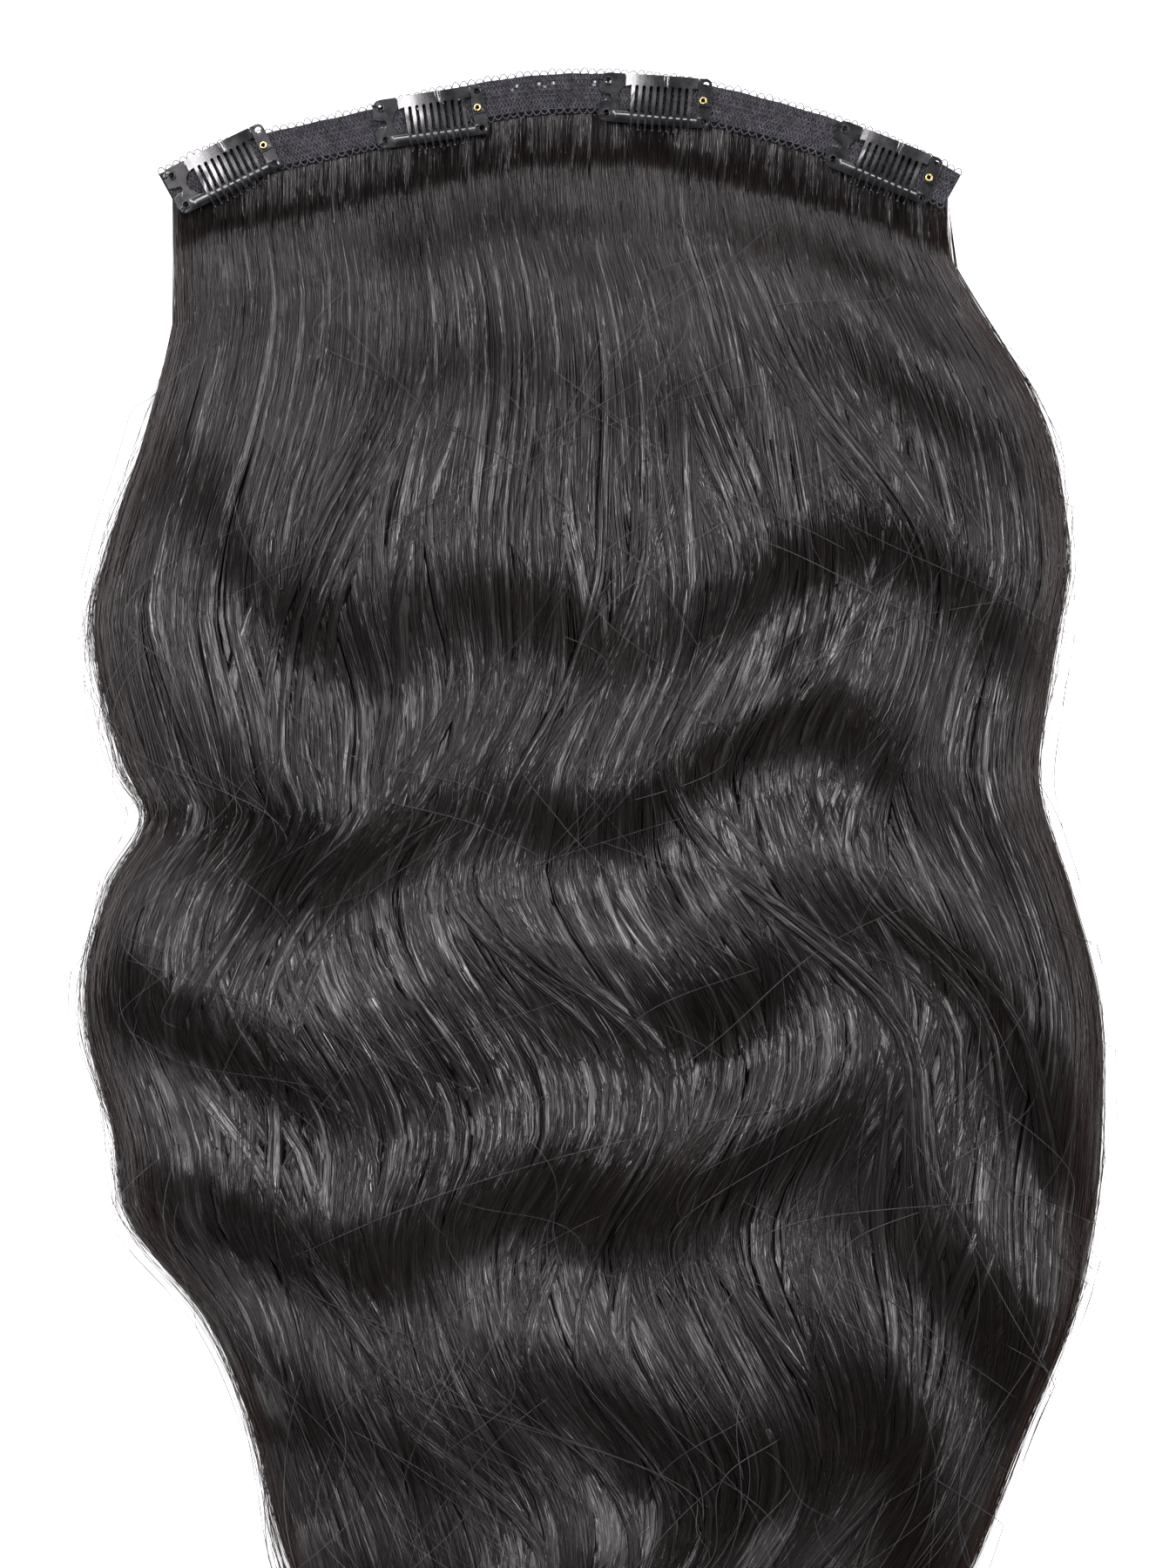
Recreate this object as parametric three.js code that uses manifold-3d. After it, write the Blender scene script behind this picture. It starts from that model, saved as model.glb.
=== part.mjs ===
// A clip-in hair weft: a lace band sewn along an arc, a mass of long wavy hair fused to the sewn
// seam behind it, and four snap comb clips of black spring steel, each with a brass eyelet rivet.
// It lies on a surface with its clips up. Millimetres, +X to the right along the band, +Y across
// the band away from the hair, +Z up. The origin is under the middle of the band, on the surface.

import * as THREE from 'three';
import { mergeVertices } from 'three/addons/utils/BufferGeometryUtils.js';
import Module from 'manifold-3d';

const wasm = await Module();
wasm.setup();

// Band: the line that the clips are centred on is an arc, and the lace and the seam follow it.
const bandArcRadius = 230;
const bandLength = 232;
const bandSteps = 26;
const laceWidth = 12.5;
const laceThickness = 1;
const laceRise = 1.8; // the lace's centre line lies this far above the clips' line
const seamWidth = 8;
const seamThickness = 2.4;
const seamOffset = -0.6; // the seam's centre line, from the clips' line
const layerGap = 0.3;

// How far the band sags below its arc, in lace widths, at shares of its half length.
const bandSag = [
  { at: -1, sag: 0 },
  { at: -0.86, sag: 0 },
  { at: -0.66, sag: 0.25 },
  { at: -0.48, sag: 0.36 },
  { at: -0.32, sag: 0.27 },
  { at: -0.05, sag: 0.08 },
  { at: 0.23, sag: 0 },
  { at: 0.55, sag: 0.04 },
  { at: 0.82, sag: 0 },
  { at: 1, sag: 0 },
];

// Clips: where each is sewn, as a share of the band's half length, and its tilt from the arc in degrees.
const clipPlaces = [
  { at: -0.858, tilt: 1.7 },
  { at: -0.325, tilt: -0.9 },
  { at: 0.234, tilt: 2.7 },
  { at: 0.817, tilt: 1.6 },
];

// One clip: a stamped spring plate with two sewing holes at each end and a keyhole notch at its left.
const clipLength = 32;
const clipHeight = 14;
const sheetThickness = 0.5;
const roundSteps = 9; // flats round a hole or rim
const cornerSteps = 3;
const barHeight = 3.1;
const leftEndWidth = 5.2;
const rightEndWidth = 3.7;
const cornerRadius = 2.4;
const rightCornerRadius = 1.7;
const sewingHoleRadius = 0.9;
const leftHoleInset = 2.4;
const rightHoleInset = 1.75;
const eyeletRimWidth = 0.45;
const eyeletRimHeight = 0.35;
const notchDepth = 2.6;
const notchRadius = 0.9;
const notchNeck = 0.62; // half the notch's width where it leaves the round end
const notchMouth = 1.6; // half its width at the plate's edge
const crownHeight = 0.38; // how far the lower bar is pressed up into a rounded ridge
const crownInset = 0.05;

// The comb: the upper bar and its teeth, which swing up about the bar's outer edge.
const combGap = 0.3;
const combStart = 7.1; // the comb's left end, from the clip's left edge
const toothCount = 9;
const firstTooth = 9.6;
const lastToothInset = 6.1;
const toothWidth = 1.05;
const toothTipWidth = 0.55;
const toothThickness = 0.42;
const toothOverhang = 2;
const bowHeight = 0.8;
const creaseWidth = 1.8;
const creaseDepth = 0.22;

// The rivet: a hollow brass eyelet through the two overlapping lobes of the plate's right end.
const rivetInset = 2.3;
const rivetRise = 0.6;
const rivetBore = 0.62;
const rivetShankWall = 0.16;
const rivetFlangeRadius = 1.3;
const rivetFlangeHeight = 0.45;
const rivetClearance = 0.22;
const lobeOverlap = 1.6;

// Hair: its reach down from the band's arc, its depth off the surface, and the locks it falls into.
const hairDrop = 480;
const hairThickness = 13;
const hairRootHeight = 2.1;
const underlayThickness = 3.5; // an even layer of hair that all the locks lie on
const underlayInset = 5;
const lockCount = 13;
const lockSteps = 20;
const lockOverlapRatio = 1.42;
const rootOverlapRatio = 1.15;
const swayWidth = 14;
const rippleHeight = 1.6;
const waveLength = 128;

// The hair's outline seen from above: left and right edges in half chords of the band, at shares of the drop.
const hairEdges = [
  { at: 0, left: -1, right: 1 },
  { at: 0.06, left: -1.01, right: 0.99 },
  { at: 0.12, left: -0.99, right: 1.09 },
  { at: 0.2, left: -1.07, right: 1.25 },
  { at: 0.275, left: -1.17, right: 1.3 },
  { at: 0.32, left: -1.2, right: 1.27 },
  { at: 0.4, left: -1.12, right: 1.215 },
  { at: 0.43, left: -1.06, right: 1.235 },
  { at: 0.47, left: -1.155, right: 1.295 },
  { at: 0.54, left: -1.22, right: 1.37 },
  { at: 0.62, left: -1.14, right: 1.37 },
  { at: 0.67, left: -1.1, right: 1.35 },
  { at: 0.73, left: -0.9, right: 1.3 },
  { at: 0.8, left: -0.78, right: 1.18 },
  { at: 0.88, left: -0.71, right: 1.05 },
  { at: 1, left: -0.55, right: 0.84 },
];

// How the hair's depth grows and fades along a strand, as a share of hairThickness, and the width a
// lock keeps, at shares of the strand.
const hairBulk = [
  { at: 0, depth: 0, width: 1 },
  { at: 0.022, depth: 0, width: 1 },
  { at: 0.06, depth: 0.38, width: 1 },
  { at: 0.13, depth: 0.82, width: 1 },
  { at: 0.3, depth: 1, width: 1 },
  { at: 0.6, depth: 0.95, width: 1 },
  { at: 0.8, depth: 0.72, width: 1 },
  { at: 0.92, depth: 0.42, width: 0.86 },
  { at: 1, depth: 0.06, width: 0.2 },
];

// Sizes that follow from those above.
const bandHalfTurn = bandLength / 2 / bandArcRadius;
const bandHalfChord = bandArcRadius * Math.sin(bandHalfTurn);
const laceBottom = seamThickness + layerGap;
const clipBottom = laceBottom + laceThickness + layerGap;
const clipLeft = -clipLength / 2;
const clipRight = clipLength / 2;
const clipTop = clipHeight / 2;
const windowTop = clipTop - barHeight;
const windowCentre = clipLeft + leftEndWidth + windowTop;
const frameCut = clipLeft + combStart;
const combLeft = frameCut + combGap;
const rightEndStart = clipRight - rightEndWidth;
const combRight = rightEndStart - combGap;
const toothPitch = (clipLength - firstTooth - lastToothInset) / (toothCount - 1);
const crownTop = sheetThickness + crownHeight;
const toothSeat = crownTop + combGap; // the teeth pass over the lower bar at this height
const rivetX = clipRight - rivetInset;
const rivetHoleRadius = rivetBore + rivetShankWall + rivetClearance;

// A column of a table at a share, along a smooth curve through its rows.
function follow(table, column, share) {
  const last = table.length - 1;
  let row = 0;
  while (row < last - 1 && share > table[row + 1].at) row += 1;
  const [a, b] = [table[row], table[row + 1]];
  const before = table[Math.max(row - 1, 0)];
  const after = table[Math.min(row + 2, last)];
  const span = b.at - a.at;
  const slopeA = ((b[column] - before[column]) / (b.at - before.at)) * span;
  const slopeB = ((after[column] - a[column]) / (after.at - a.at)) * span;
  const t = THREE.MathUtils.clamp((share - a.at) / span, 0, 1);
  const [t2, t3] = [t * t, t * t * t];
  return (
    (2 * t3 - 3 * t2 + 1) * a[column] +
    (t3 - 2 * t2 + t) * slopeA +
    (3 * t2 - 2 * t3) * b[column] +
    (t3 - t2) * slopeB
  );
}

// The point of the clips' line at a share of the band's half length, moved outwards by rise.
function bandPoint(share, rise = 0) {
  const turn = share * bandHalfTurn;
  const radius = bandArcRadius - follow(bandSag, 'sag', share) * laceWidth + rise;
  return new THREE.Vector2(radius * Math.sin(turn), radius * Math.cos(turn) - bandArcRadius);
}

// A closed body through sections of equally many points. The points run counter-clockwise where the
// way from the first section to the last points at the viewer.
function loft(sections) {
  const count = sections[0].length;
  const positions = sections.flat().flatMap((p) => [p.x, p.y, p.z]);
  const faces = [];
  for (let s = 0; s + 1 < sections.length; s += 1) {
    for (let k = 0; k < count; k += 1) {
      const [a, b] = [s * count + k, s * count + ((k + 1) % count)];
      faces.push(a, b, b + count, a, b + count, a + count);
    }
  }
  const end = (sections.length - 1) * count;
  for (let k = 1; k + 1 < count; k += 1) {
    faces.push(0, k + 1, k, end, end + k, end + k + 1);
  }
  const geometry = new THREE.BufferGeometry();
  geometry.setAttribute('position', new THREE.Float32BufferAttribute(positions, 3));
  geometry.setIndex(faces);
  return geometry;
}

// A three.js geometry as a solid that can be joined and cut.
function solidOf(geometry) {
  const bare = geometry.clone();
  bare.deleteAttribute('normal');
  bare.deleteAttribute('uv');
  const merged = mergeVertices(bare, 1e-4);
  return new wasm.Manifold(
    new wasm.Mesh({
      numProp: 3,
      vertProperties: new Float32Array(merged.attributes.position.array),
      triVerts: new Uint32Array(merged.index.array),
    }),
  );
}

// A solid as a three.js geometry with flat faces.
function geometryOf(solid) {
  const mesh = solid.getMesh();
  const geometry = new THREE.BufferGeometry();
  geometry.setAttribute('position', new THREE.BufferAttribute(mesh.vertProperties, 3));
  geometry.setIndex(new THREE.BufferAttribute(mesh.triVerts, 1));
  const flat = geometry.toNonIndexed();
  flat.computeVertexNormals();
  return flat;
}

function fused(geometries) {
  return geometryOf(geometries.map(solidOf).reduce((whole, piece) => whole.add(piece)));
}

function mesh(name, geometry, material) {
  const made = new THREE.Mesh(geometry, material);
  made.name = name;
  return made;
}

const materials = {
  lace: new THREE.MeshStandardMaterial({ color: 0x17161a, roughness: 0.9, metalness: 0 }),
  hair: new THREE.MeshStandardMaterial({ color: 0x1a1513, roughness: 0.45, metalness: 0 }),
  steel: new THREE.MeshStandardMaterial({ color: 0x101012, roughness: 0.25, metalness: 0.4 }),
  brass: new THREE.MeshStandardMaterial({ color: 0xc8a24a, roughness: 0.3, metalness: 1 }),
};

// A strip that follows the band: width across it, thickness upwards from bottom, centred at rise.
function bandStrip(width, thickness, bottom, rise) {
  const sections = [];
  for (let step = 0; step <= bandSteps; step += 1) {
    const share = -1 + (2 * step) / bandSteps;
    const inner = bandPoint(share, rise - width / 2);
    const outer = bandPoint(share, rise + width / 2);
    sections.push([
      new THREE.Vector3(inner.x, inner.y, bottom),
      new THREE.Vector3(outer.x, outer.y, bottom),
      new THREE.Vector3(outer.x, outer.y, bottom + thickness),
      new THREE.Vector3(inner.x, inner.y, bottom + thickness),
    ]);
  }
  return loft(sections);
}

// The sideways sway of the waves at a share across the hair and a distance down from the band.
function sway(across, down) {
  const inside = 4 * across * (1 - across);
  const grown = THREE.MathUtils.smoothstep(down, 0.12 * hairDrop, 0.5 * hairDrop);
  const turn = (2 * Math.PI * down) / waveLength + Math.PI * (across - 0.35);
  return swayWidth * inside * grown * Math.sin(turn);
}

// The place of a strand of hair on the surface, at a share across the hair and a height y.
function strandX(across, y) {
  const down = THREE.MathUtils.clamp(-y / hairDrop, 0, 1);
  const left = follow(hairEdges, 'left', down) * bandHalfChord;
  const right = follow(hairEdges, 'right', down) * bandHalfChord;
  return THREE.MathUtils.lerp(left, right, across) + sway(across, -y);
}

// One lock of hair from the seam to its tip: a flat underside and a domed top. The locks differ in
// width, height, reach and in where they wander to, by waves of their number.
function lock(index) {
  const root = bandPoint(-1 + (2 * index + 1) / lockCount, seamOffset);
  const edge = index === 0 || index === lockCount - 1;
  const margin = lockOverlapRatio / 2 / lockCount; // the outer locks' sides lie on the outline
  const across = THREE.MathUtils.lerp(margin, 1 - margin, index / (lockCount - 1));
  const reach = hairDrop * (1 - 0.03 * (1 + Math.cos(index * 2.4)));
  const wander = edge ? 0 : (0.45 * Math.sin(index * 2.1 + 0.6)) / lockCount;
  const spread = edge ? 1 : 1 + 0.2 * Math.sin(index * 1.7 + 1.1);
  const lift = 1 + 0.16 * Math.sin(index * 2.7);
  const inside = 0.6 + 0.4 * Math.sqrt(4 * across * (1 - across));
  const centres = [];
  for (let step = 0; step <= lockSteps; step += 1) {
    const share = (step / lockSteps) ** 1.2;
    const y = root.y + (-reach - root.y) * share;
    const place = across + wander * (1 - share ** 4) * Math.sin(share * 5.5 + index);
    const leaving = Math.min(share * 12, 1); // the lock leaves the seam at its root's own place
    const width = (strandX(1, y) - strandX(0, y)) / lockCount;
    const swell = THREE.MathUtils.lerp(rootOverlapRatio, lockOverlapRatio * spread, leaving);
    const ripple = rippleHeight * Math.sin((2 * Math.PI * -y) / waveLength + index * 0.9);
    centres.push({
      x: THREE.MathUtils.lerp(root.x, strandX(place, y), leaving),
      y,
      width: width * swell * follow(hairBulk, 'width', share),
      height:
        hairRootHeight +
        follow(hairBulk, 'depth', share) * (hairThickness * lift - hairRootHeight + ripple) * inside,
    });
  }
  const sections = centres.map((centre, step) => {
    const from = centres[Math.max(step - 1, 0)];
    const to = centres[Math.min(step + 1, lockSteps)];
    const way = new THREE.Vector2(to.x - from.x, to.y - from.y).normalize();
    const point = (side, up) =>
      new THREE.Vector3(
        centre.x - (way.y * side * centre.width) / 2,
        centre.y + (way.x * side * centre.width) / 2,
        up * centre.height,
      );
    return [
      point(-1, 0), point(1, 0), point(1, 0.22), point(0.55, 0.82),
      point(0, 1), point(-0.55, 0.82), point(-1, 0.22),
    ];
  });
  return loft(sections);
}

// The even layer under the locks, from the seam down to where the locks part into tips.
function underlay() {
  const sections = [];
  const steps = Math.round(lockSteps / 2);
  for (let step = 0; step <= steps; step += 1) {
    const share = step / steps;
    const middle = -THREE.MathUtils.lerp(0.09, 0.8, share) * hairDrop;
    const top = THREE.MathUtils.lerp(hairRootHeight, underlayThickness, Math.min(share * 8, 1));
    const inset = underlayInset * (1 + 2 * share ** 4);
    const [left, right] = [strandX(0, middle) + inset, strandX(1, middle) - inset];
    sections.push([
      new THREE.Vector3(left, middle, 0),
      new THREE.Vector3(right, middle, 0),
      new THREE.Vector3(right, middle, top),
      new THREE.Vector3(left, middle, top),
    ]);
  }
  return loft(sections);
}

function hair() {
  const pieces = [bandStrip(seamWidth, seamThickness, 0, seamOffset), underlay()];
  for (let index = 0; index < lockCount; index += 1) pieces.push(lock(index));
  return fused(pieces);
}

// Points along an arc, from one angle to another in a number of steps.
function arc(x, y, radius, from, to, steps) {
  const points = [];
  for (let step = 0; step <= steps; step += 1) {
    const angle = THREE.MathUtils.lerp(from, to, step / steps);
    points.push(new THREE.Vector2(x + radius * Math.cos(angle), y + radius * Math.sin(angle)));
  }
  return points;
}

function holeAt(x, y, radius) {
  return new THREE.Path(arc(x, y, radius, 0, 2 * Math.PI, roundSteps).slice(0, -1));
}

// A flat plate of an outline with holes, from bottom upwards.
function plate(outline, holes, bottom, thickness) {
  const shape = new THREE.Shape(outline);
  shape.holes = holes;
  return new THREE.ExtrudeGeometry(shape, { depth: thickness, bevelEnabled: false }).translate(0, 0, bottom);
}

// The plate's left end, lower bar and lower right lobe, with its keyhole notch.
function framePlate() {
  const quarter = Math.PI / 2;
  const [left, right] = [clipLeft + cornerRadius, clipRight - rightCornerRadius];
  const lobeTop = rivetRise + lobeOverlap;
  const cutAngle = Math.acos((frameCut - windowCentre) / windowTop);
  const notchX = clipLeft + notchDepth;
  const neckAngle = Math.PI - Math.asin(notchNeck / notchRadius);
  const outline = [
    ...arc(right, rightCornerRadius - clipTop, rightCornerRadius, -quarter, 0, cornerSteps),
    new THREE.Vector2(clipRight, lobeTop),
    new THREE.Vector2(rightEndStart, lobeTop),
    new THREE.Vector2(rightEndStart, -windowTop),
    ...arc(windowCentre, 0, windowTop, -quarter, cutAngle - 4 * quarter, roundSteps),
    new THREE.Vector2(frameCut, clipTop),
    ...arc(left, clipTop - cornerRadius, cornerRadius, quarter, 2 * quarter, cornerSteps),
    new THREE.Vector2(clipLeft, notchMouth),
    ...arc(notchX, 0, notchRadius, neckAngle, -neckAngle, roundSteps),
    new THREE.Vector2(clipLeft, -notchMouth),
    ...arc(left, cornerRadius - clipTop, cornerRadius, 2 * quarter, 3 * quarter, cornerSteps),
  ];
  const holes = [
    holeAt(clipLeft + leftHoleInset, clipTop - leftHoleInset, sewingHoleRadius),
    holeAt(clipLeft + leftHoleInset, leftHoleInset - clipTop, sewingHoleRadius),
    holeAt(clipRight - rightHoleInset, rightHoleInset - clipTop, sewingHoleRadius),
    holeAt(rivetX, rivetRise, rivetHoleRadius),
  ];
  return plate(outline, holes, 0, sheetThickness);
}

// The upper right lobe, which lies on the lower one and is riveted to it.
function upperLobe() {
  const right = clipRight - rightCornerRadius;
  const outline = [
    new THREE.Vector2(rightEndStart, rivetRise - lobeOverlap),
    new THREE.Vector2(clipRight, rivetRise - lobeOverlap),
    ...arc(right, clipTop - rightCornerRadius, rightCornerRadius, 0, Math.PI / 2, cornerSteps),
    new THREE.Vector2(rightEndStart, clipTop),
  ];
  const holes = [
    holeAt(clipRight - rightHoleInset, clipTop - rightHoleInset, sewingHoleRadius),
    holeAt(rivetX, rivetRise, rivetHoleRadius),
  ];
  return plate(outline, holes, sheetThickness - crownInset, sheetThickness + crownInset);
}

// The rounded ridge along the lower bar, which the teeth close on.
function lowerBarCrown() {
  const middle = -clipTop + barHeight / 2;
  const half = barHeight / 2 - crownInset;
  const profile = [
    { across: -1, up: crownInset },
    { across: 1, up: crownInset },
    { across: 1, up: sheetThickness },
    { across: 0.6, up: sheetThickness + 0.75 * crownHeight },
    { across: 0, up: crownTop },
    { across: -0.6, up: sheetThickness + 0.75 * crownHeight },
    { across: -1, up: sheetThickness },
  ];
  const ends = [clipLeft + leftEndWidth, rightEndStart - crownInset];
  return loft(ends.map((x) => profile.map((p) => new THREE.Vector3(x, middle + p.across * half, p.up))));
}

// A raised rim round a sewing hole of the left end.
function eyeletRim(side) {
  const bottom = sheetThickness - crownInset;
  const top = sheetThickness + eyeletRimHeight;
  const inner = sewingHoleRadius;
  const profile = [
    new THREE.Vector2(inner, bottom),
    new THREE.Vector2(inner + eyeletRimWidth, bottom),
    new THREE.Vector2(inner + eyeletRimWidth / 2, top),
    new THREE.Vector2(inner, top),
    new THREE.Vector2(inner, bottom),
  ];
  return new THREE.LatheGeometry(profile, roundSteps, Math.PI / 2)
    .rotateX(Math.PI / 2)
    .translate(clipLeft + leftHoleInset, side * (clipTop - leftHoleInset), 0);
}

function clipFrame() {
  return fused([framePlate(), upperLobe(), lowerBarCrown(), eyeletRim(-1), eyeletRim(1)]);
}

// The height of the upper bar's underside: level with the left end, one sheet up at the right, bowed between.
function barLevel(x) {
  const share = (x - combLeft) / (combRight - combLeft);
  return sheetThickness * share + bowHeight * 4 * share * (1 - share);
}

function toothX(index) {
  return clipLeft + firstTooth + index * toothPitch;
}

// The upper bar: its lower edge follows the window's round end and the arched tops of the slots
// between the teeth, and a tapering crease is pressed into its middle.
function upperBar() {
  const stations = [combLeft, windowCentre];
  const slotHalf = (toothPitch - toothWidth) / 2;
  for (let index = 0; index < toothCount; index += 1) {
    stations.push(toothX(index) - toothWidth / 2, toothX(index) + toothWidth / 2);
    if (index + 1 < toothCount) {
      for (const side of [-0.7, 0, 0.7]) stations.push(toothX(index) + toothPitch / 2 + side * slotHalf);
    }
  }
  stations.push(combRight);
  const creaseX = toothX((toothCount - 1) / 2) + toothPitch / 2; // over a slot, so no tooth meets it
  stations.push(creaseX - creaseWidth / 2, creaseX, creaseX + creaseWidth / 2);
  const ordered = [...new Set(stations.map((x) => Number(x.toFixed(3))))].sort((a, b) => a - b);
  const sections = ordered.map((x) => {
    const tooth = Math.round((x - toothX(0)) / toothPitch);
    const fromTooth = Math.abs(x - toothX(THREE.MathUtils.clamp(tooth, 0, toothCount - 1)));
    const intoSlot = Math.min(Math.max(fromTooth - toothWidth / 2, 0), slotHalf);
    const inSlot = x > toothX(0) && x < toothX(toothCount - 1);
    const arch = inSlot ? Math.sqrt(slotHalf ** 2 - (slotHalf - intoSlot) ** 2) - slotHalf : 0;
    const roundEnd = Math.max(windowCentre - x, 0);
    const low = Math.sqrt(windowTop ** 2 - roundEnd ** 2) + arch;
    const crease = creaseDepth * Math.max(1 - Math.abs(x - creaseX) / (creaseWidth / 2), 0);
    const level = barLevel(x);
    return [
      new THREE.Vector3(x, low, level),
      new THREE.Vector3(x, clipTop, level - crease),
      new THREE.Vector3(x, clipTop, level - crease + sheetThickness),
      new THREE.Vector3(x, low, level + sheetThickness),
    ];
  });
  return loft(sections);
}

// One tooth: level with the bar, up over the lower bar, and down to a blunt tip.
function tooth(index) {
  const x = toothX(index);
  const root = barLevel(x) + (sheetThickness - toothThickness) / 2;
  const seat = Math.max(toothSeat, toothSeat + 0.35 * (root - sheetThickness));
  const lean = (barLevel(x + 0.5) - barLevel(x - 0.5)) * 0.5; // the root leans with the bowed bar
  const rows = [
    { y: windowTop + barHeight / 3, z: root, width: toothWidth, lean },
    { y: windowTop * 0.2, z: root, width: toothWidth, lean },
    { y: -windowTop * 0.62, z: seat, width: 0.9 * toothWidth, lean: 0 },
    { y: 0.6 - clipTop, z: seat, width: 0.75 * toothWidth, lean: 0 },
    { y: 0.2 - clipTop - toothOverhang / 2, z: seat - 0.35, width: toothTipWidth, lean: 0 },
    { y: -clipTop - toothOverhang, z: seat - 0.5, width: 0.7 * toothTipWidth, lean: 0 },
  ];
  return loft(
    rows.map((row) => [
      new THREE.Vector3(x - row.width / 2, row.y, row.z - row.lean * row.width),
      new THREE.Vector3(x + row.width / 2, row.y, row.z + row.lean * row.width),
      new THREE.Vector3(x + row.width / 2, row.y, row.z + row.lean * row.width + toothThickness),
      new THREE.Vector3(x - row.width / 2, row.y, row.z - row.lean * row.width + toothThickness),
    ]),
  );
}

function clipComb() {
  const pieces = [upperBar()];
  for (let index = 0; index < toothCount; index += 1) pieces.push(tooth(index));
  return fused(pieces);
}

// The rivet: a thin shank through both lobes and a rolled flange over the upper one.
function rivet() {
  const shank = rivetBore + rivetShankWall;
  const flangeBottom = 2 * sheetThickness + rivetClearance;
  const flangeTop = flangeBottom + rivetFlangeHeight;
  const profile = [
    new THREE.Vector2(rivetBore, 0),
    new THREE.Vector2(shank, 0),
    new THREE.Vector2(shank, flangeBottom),
    new THREE.Vector2(rivetFlangeRadius, flangeBottom),
    new THREE.Vector2((shank + rivetFlangeRadius) / 2, flangeTop),
    new THREE.Vector2(rivetBore, flangeTop),
    new THREE.Vector2(rivetBore, 0),
  ];
  return new THREE.LatheGeometry(profile, roundSteps)
    .rotateX(Math.PI / 2)
    .translate(rivetX, rivetRise, 0);
}

const weft = new THREE.Group();
weft.add(mesh('lace_band', bandStrip(laceWidth, laceThickness, laceBottom, laceRise), materials.lace));
weft.add(mesh('hair', hair(), materials.hair));

const shapes = { frame: clipFrame(), comb: clipComb(), rivet: rivet() };
clipPlaces.forEach((place, index) => {
  const clip = new THREE.Group();
  const centre = bandPoint(place.at);
  clip.position.set(centre.x, centre.y, clipBottom);
  clip.rotation.z = THREE.MathUtils.degToRad(place.tilt) - place.at * bandHalfTurn;
  clip.add(mesh(`clip_${index + 1}_frame`, shapes.frame, materials.steel));
  clip.add(mesh(`clip_${index + 1}_comb`, shapes.comb, materials.steel));
  clip.add(mesh(`clip_${index + 1}_rivet`, shapes.rivet, materials.brass));
  weft.add(clip);
});

export default weft;
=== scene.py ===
"""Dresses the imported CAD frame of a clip-in hair weft: its hair, lace band and snap comb clips."""

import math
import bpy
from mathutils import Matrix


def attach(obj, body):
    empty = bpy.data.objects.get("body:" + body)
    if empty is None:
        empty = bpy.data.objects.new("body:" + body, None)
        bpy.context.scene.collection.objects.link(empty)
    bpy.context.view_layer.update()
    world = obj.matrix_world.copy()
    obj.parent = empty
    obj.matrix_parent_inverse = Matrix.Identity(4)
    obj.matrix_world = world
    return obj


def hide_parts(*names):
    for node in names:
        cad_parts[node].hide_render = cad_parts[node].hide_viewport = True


bl_info = {
    "name": "Clip-in hair weft",
    "version": (1, 0, 0),
    "blender": (4, 5, 0),
    "location": "3D View > Sidebar > Hair weft",
    "description": "Builds the hair, lace band and clips of a clip-in weft around its CAD frame",
    "category": "Object",
}

import bmesh
import bpy
import numpy as np
from bpy.props import FloatProperty, FloatVectorProperty, IntProperty, PointerProperty
from mathutils import Matrix, Vector

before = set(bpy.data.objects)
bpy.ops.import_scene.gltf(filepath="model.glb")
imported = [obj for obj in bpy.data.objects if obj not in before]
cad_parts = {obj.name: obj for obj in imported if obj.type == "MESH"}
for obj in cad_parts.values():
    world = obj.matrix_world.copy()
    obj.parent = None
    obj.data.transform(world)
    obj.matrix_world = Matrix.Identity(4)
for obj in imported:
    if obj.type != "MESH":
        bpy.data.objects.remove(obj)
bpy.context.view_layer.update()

MM = 0.001
BODY = "weft"

# The weft's flow, in mm, as its CAD solids have it: the band's arc, the hair's outline and its bulk.
ARC_RADIUS = 230.0
BAND_LENGTH = 232.0
HALF_TURN = BAND_LENGTH / 2 / ARC_RADIUS
HALF_CHORD = ARC_RADIUS * math.sin(HALF_TURN)
LACE_WIDTH = 12.5
LACE_RISE = 1.8
LACE_BOTTOM = 2.7
CLIP_BOTTOM = 4.0
SEAM_WIDTH = 8.0
SEAM_THICKNESS = 2.4
SEAM_OFFSET = -0.6
HAIR_DROP = 480.0
ROOT_HEIGHT = 2.1
WAVE_LENGTH = 128.0
SWAY_WIDTH = 14.0
LOCKS = 13
LOCK_MARGIN = 1.42 / 2 / LOCKS

# at (share of the half band), sag in lace widths
BAND_SAG = (
    (-1, 0), (-0.86, 0), (-0.66, 0.25), (-0.48, 0.36), (-0.32, 0.27), (-0.05, 0.08),
    (0.23, 0), (0.55, 0.04), (0.82, 0), (1, 0),
)
# at (share of the drop), left edge, right edge in half chords
HAIR_EDGES = (
    (0, -1, 1), (0.06, -1.01, 0.99), (0.12, -0.99, 1.09), (0.2, -1.07, 1.25), (0.275, -1.17, 1.3),
    (0.32, -1.2, 1.27), (0.4, -1.12, 1.215), (0.43, -1.06, 1.235), (0.47, -1.155, 1.295),
    (0.54, -1.22, 1.37), (0.62, -1.14, 1.37), (0.67, -1.1, 1.35), (0.73, -0.9, 1.3),
    (0.8, -0.78, 1.18), (0.88, -0.71, 1.05), (1, -0.55, 0.84),
)
# at (share of the strand), depth, width
HAIR_BULK = (
    (0, 0, 1), (0.022, 0, 1), (0.06, 0.38, 1), (0.13, 0.82, 1), (0.3, 1, 1), (0.6, 0.95, 1),
    (0.8, 0.72, 1), (0.92, 0.42, 0.86), (1, 0.06, 0.2),
)
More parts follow.
